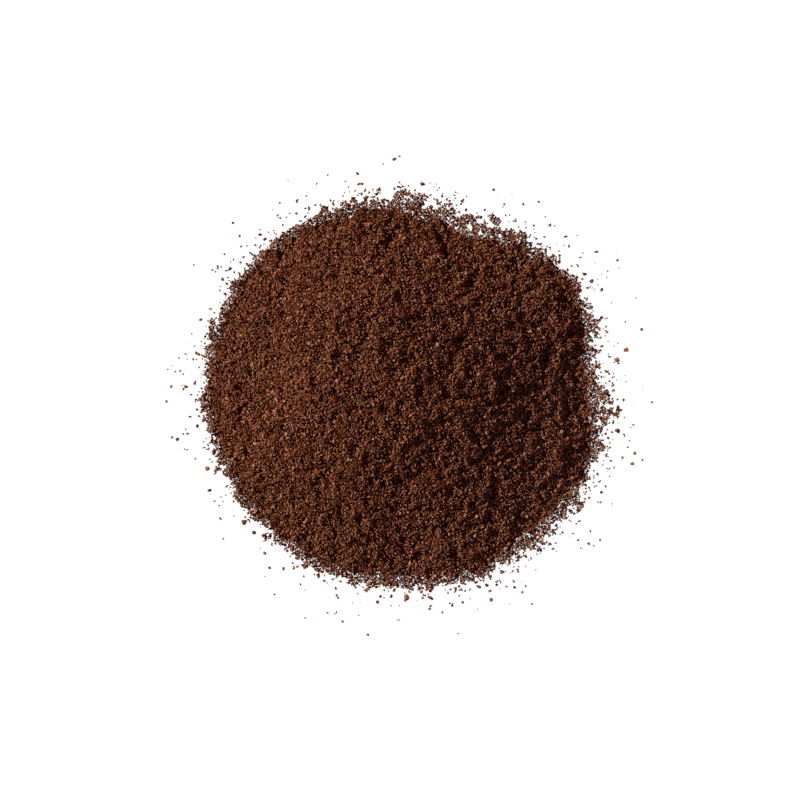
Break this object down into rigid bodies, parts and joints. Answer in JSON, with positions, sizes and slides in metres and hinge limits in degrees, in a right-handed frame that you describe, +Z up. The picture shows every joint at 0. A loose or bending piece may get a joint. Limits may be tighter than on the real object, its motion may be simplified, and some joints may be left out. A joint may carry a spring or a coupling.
{
  "type": "ground coffee heap",
  "caption": "Low round heap of loose ground coffee lying on a flat surface, with a ragged rim and stray crumbs around it.",
  "frame": {"origin": "on the surface that the heap lies on, under the middle of its outline", "axes": "+Z up, +Y away from the viewer in the picture's overhead view, +X to the right"},
  "size_m": [0.1219, 0.117, 0.0134],
  "materials": {
    "ground_coffee": "matte, granular",
    "coffee_crumbs": "matte, rough"
  },
  "bodies": {
    "root": {"heap": "ground_coffee", "crumb_01": "coffee_crumbs", "crumb_02": "coffee_crumbs", "crumb_03": "coffee_crumbs", "crumb_04": "coffee_crumbs", "crumb_05": "coffee_crumbs", "crumb_06": "coffee_crumbs", "crumb_07": "coffee_crumbs", "crumb_08": "coffee_crumbs", "crumb_09": "coffee_crumbs", "crumb_10": "coffee_crumbs", "crumb_11": "coffee_crumbs", "crumb_12": "coffee_crumbs", "crumb_13": "coffee_crumbs", "crumb_14": "coffee_crumbs", "crumb_15": "coffee_crumbs", "crumb_16": "coffee_crumbs", "crumb_17": "coffee_crumbs", "crumb_18": "coffee_crumbs", "crumb_19": "coffee_crumbs", "crumb_20": "coffee_crumbs", "crumb_21": "coffee_crumbs", "crumb_22": "coffee_crumbs", "crumb_23": "coffee_crumbs", "crumb_24": "coffee_crumbs", "crumb_25": "coffee_crumbs"}
  },
  "joints": []
}
